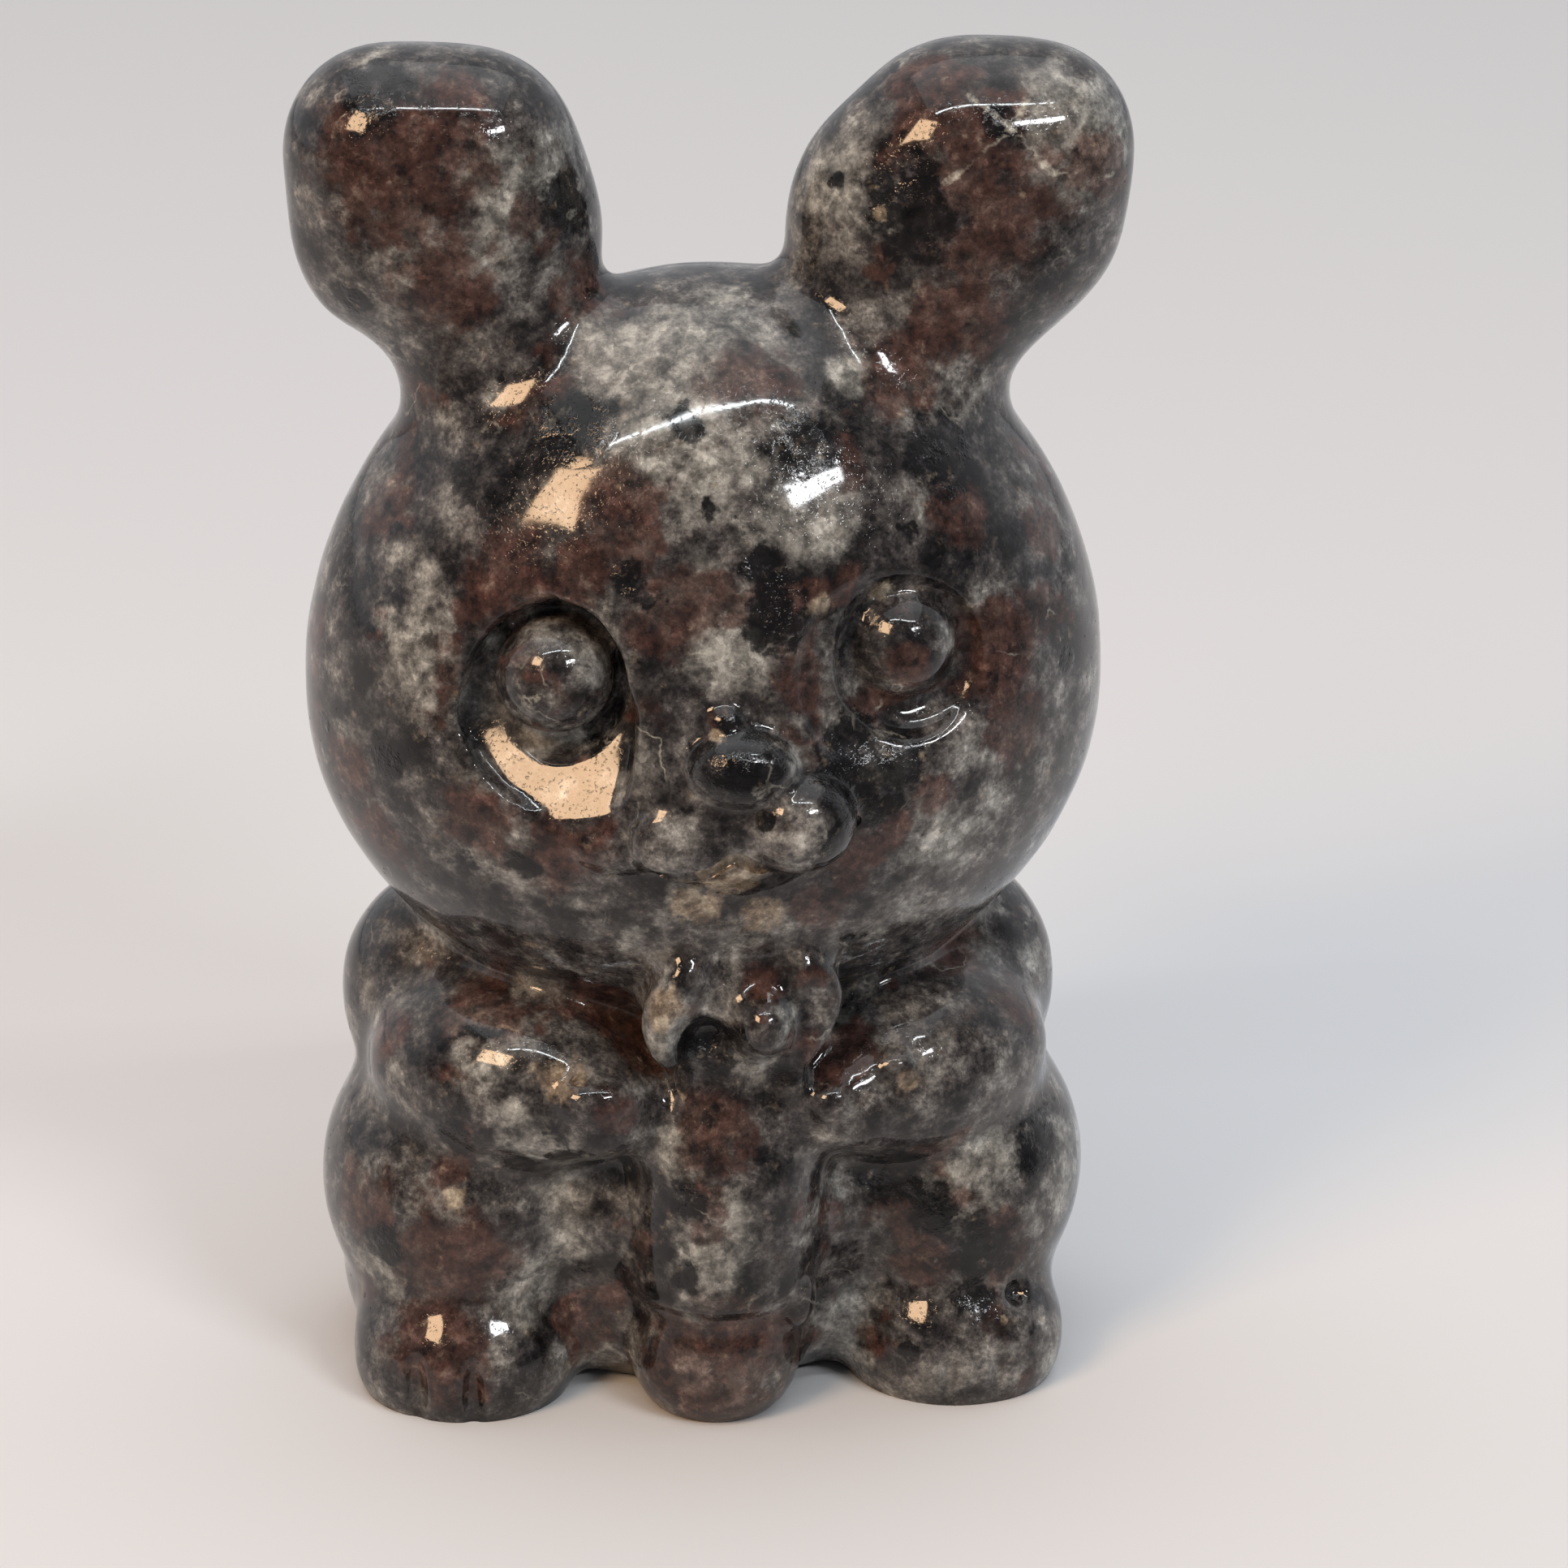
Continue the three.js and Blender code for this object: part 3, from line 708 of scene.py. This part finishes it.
def crystals(size, low, high):
    """Ragged crystals of that size, each a lighter or darker factor than its neighbours."""
    cells = add(tree, "TexVoronoi", {"Vector": stirred, "Scale": 1 / size}).outputs["Color"]
    return spread(tree, add(tree, "SeparateXYZ", {0: cells}).outputs["X"], 0.0, 1.0, low, high)


ribbon = sums(tree, "ABSOLUTE", sums(tree, "SUBTRACT", cloud(7.0, 0.5, 51.0), 0.5))
broken = spread(tree, cloud(3.0, 0.6, 61.0), 0.56, 0.68)
thread = spread(tree, ribbon, 0.007, 0.0)
wavering = sums(tree, "MULTIPLY", sums(tree, "SUBTRACT", fine, 0.5), 0.3)
stored_veins = add(tree, "Attribute", attribute_name="veins").outputs["Fac"]
placed = spread(tree, sums(tree, "ADD", stored_veins, wavering), 0.86, 0.97)
vein = sums(tree, "MAXIMUM", sums(tree, "MULTIPLY", sums(tree, "MULTIPLY", thread, broken), 0.55),
            sums(tree, "MULTIPLY", placed, 0.85))
tint = mixed(tree, vein, tint, VEIN_COLOUR)
grit = spread(tree, cloud(0.3, 0.85, 71.0), 0.34, 0.66, 0.75, 1.25)
grains = sums(tree, "MULTIPLY", crystals(1.3, 0.78, 1.22), crystals(0.45, 0.7, 1.3))
tint = add(tree, "VectorMath", {0: tint, "Scale": sums(tree, "MULTIPLY", grit, grains)},
           operation="SCALE").outputs[0]
tree.links.new(tint, shader.inputs["Base Color"])

# %% [markdown]
# ## The polish
# The stone is polished almost to a mirror. The black mineral is softer: it is pitted, and it
# glitters. So roughness rises a little in the placed black patches, and a bump of tiny pits is
# let through where a noise is high, most of all there. A few grains took no polish at all and
# show as dark specks in the lamps' reflections.

# %% Roughness and tiny pits
PIT_DEPTH = 0.00006               # metres
near_black = spread(tree, add(tree, "Attribute", attribute_name="black").outputs["Fac"], 0.35, 0.65)
pitted = sums(tree, "MULTIPLY", near_black, spread(tree, cloud(1.4, 0.6, 81.0), 0.5, 0.6))
shader.inputs["IOR"].default_value = 1.54
rough = spread(tree, fine, 0.35, 0.7, 0.045, 0.1)
specks = spread(tree, cloud(0.4, 0.7, 101.0), 0.63, 0.67)
dull = sums(tree, "ADD", sums(tree, "MULTIPLY", pitted, 0.05), sums(tree, "MULTIPLY", specks, 0.45))
tree.links.new(sums(tree, "ADD", rough, dull), shader.inputs["Roughness"])
holes = spread(tree, cloud(0.16, 0.6, 91.0), 0.3, 0.42)
relief = sums(tree, "MULTIPLY", holes, sums(tree, "ADD", 0.12, pitted))
scratches = sums(tree, "MULTIPLY", fine, 0.06)
bumps = add(tree, "Bump", {
    "Height": sums(tree, "ADD", relief, scratches), "Strength": 0.5, "Distance": PIT_DEPTH})
tree.links.new(bumps.outputs["Normal"], shader.inputs["Normal"])

figure.data.materials.clear()
figure.data.materials.append(stone)
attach(figure, "root")
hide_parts("bear")
print("nodes in the stone:", len(tree.nodes))

# %% [markdown]
# ## Floor
# The figure stands on a plain pale floor. In front of it the floor carries painted shade, a dark
# colour that the gloss mirrors there. The floor's material gives it to mirrored rays alone, and
# what the camera sees of the floor itself stays pale.

# %% Floor
FLOOR_SIZE = 3                    # metres, so that its edge stays out of low views too
bpy.ops.object.select_all(action="DESELECT")
bpy.ops.mesh.primitive_plane_add(size=FLOOR_SIZE, location=(0, 0.2, 0))
floor = bpy.context.object
floor.name = "floor"
# the second colour is painted shade: the dark that the gloss mirrors from the floor in front
PALE, PAINTED_SHADE = (0.72, 0.72, 0.73, 1), (0.1, 0.1, 0.1, 1)
pale_floor = bpy.data.materials.new("pale_floor")
pale_floor.use_nodes = True
nodes = pale_floor.node_tree
matt = nodes.nodes["Principled BSDF"]
matt.inputs["Roughness"].default_value = 0.9
ahead = add(nodes, "SeparateXYZ", {0: add(nodes, "NewGeometry").outputs["Position"]}).outputs["Y"]
# painted shade: the floor is darker in front of the figure, for mirrored rays only
shade = spread(nodes, ahead, 0.0, -0.06)
mirrored = sums(nodes, "MULTIPLY", shade, add(nodes, "LightPath").outputs["Is Glossy Ray"])
nodes.links.new(mixed(nodes, mirrored, PALE, PAINTED_SHADE), matt.inputs["Base Color"])
floor.data.materials.append(pale_floor)

# %% [markdown]
# ## Camera
# The figure is seen from a little above and a little to the viewer's left. The camera leans
# by a degree too, so its turn is built from three directions: ahead, to the side and over.

# %% Camera
AZIMUTH, ELEVATION, ROLL = math.radians(-6), math.radians(22), math.radians(0.9)
DISTANCE, FOCAL_PX, FRAME_PX, SENSOR = 0.3, 7920, 1932, 36.0
PX_PER_MM = FOCAL_PX / DISTANCE / 1000                 # at the figure's middle
MIDDLE_PX = (94, 73)              # how far the figure's middle is left of and above the frame's
back = Vector((math.sin(AZIMUTH) * math.cos(ELEVATION), -math.cos(AZIMUTH) * math.cos(ELEVATION),
               math.sin(ELEVATION)))
level = Vector((math.cos(AZIMUTH), math.sin(AZIMUTH), 0))
rise = back.cross(level)
right = level * math.cos(ROLL) + rise * math.sin(ROLL)
up = rise * math.cos(ROLL) - level * math.sin(ROLL)
target = Vector((*CENTRED, 31)) / 1000
eye = target + back * DISTANCE
aim = target + (right * (MIDDLE_PX[0] / PX_PER_MM) - up * (MIDDLE_PX[1] / PX_PER_MM)) / 1000
bpy.ops.object.camera_add(location=eye)
camera = bpy.context.object
camera.data.sensor_width = SENSOR
camera.data.lens = FOCAL_PX * SENSOR / FRAME_PX
forward = (aim - eye).normalized()
side = forward.cross(up).normalized()
over = side.cross(forward)
camera.rotation_euler = Matrix((side, over, -forward)).transposed().to_euler()
bpy.context.scene.camera = camera

# %% [markdown]
# ## Light
# The gloss shows the room, so the lights are what the highlights ask for: a warm lamp to the
# left, a white one to the right, and overhead a broad dim panel with a narrow bright strip
# along its front edge. The surroundings are dark in front and pale behind, so the figure's
# sides mirror a soft grey.

# %% Lamps, panel and strip
def lamp(name, place, size, glow, tint):
    """A flat lamp at a place seen from the figure's middle, facing it; glow is its brightness."""
    place = Vector(place)
    bpy.ops.object.light_add(type="AREA", location=target + place)
    light = bpy.context.object
    light.name = name
    light.data.shape = "RECTANGLE"
    light.data.size, light.data.size_y = size
    light.data.energy = glow * math.pi * size[0] * size[1]
    light.data.color = tint
    light.rotation_euler = (-place).to_track_quat("-Z", "Y").to_euler()
    return light


LAMPS_AWAY = 0.6
lamp("warm_lamp", facing(-46, 38) * LAMPS_AWAY, (0.18, 0.17), 17, (1, 0.66, 0.4))
lamp("white_lamp", facing(34, 39.5) * LAMPS_AWAY, (0.17, 0.045), 36, (0.95, 0.97, 1))
lamp("panel", (0, 0.05, 0.62), (0.8, 0.7), 0.8, (0.96, 0.98, 1))
strip = lamp("strip", (0, -0.3, 0.6), (0.62, 0.011), 45, (0.92, 0.98, 1))
strip.rotation_euler = (0, 0, math.radians(6))

# %% Surroundings: dark in front, pale behind
IN_FRONT, BEHIND = (0.1, 0.1, 0.105, 1), (0.62, 0.63, 0.66, 1)
room = bpy.data.worlds.new("room")
bpy.context.scene.world = room
room.use_nodes = True
air = room.node_tree
away = add(air, "SeparateXYZ", {0: add(air, "TexCoord").outputs["Generated"]}).outputs["Y"]
behind = spread(air, away, -0.25, 0.2, interpolation_type="SMOOTHSTEP")
air.links.new(mixed(air, behind, IN_FRONT, BEHIND), air.nodes["Background"].inputs["Color"])
bpy.context.scene.view_settings.view_transform = "Standard"
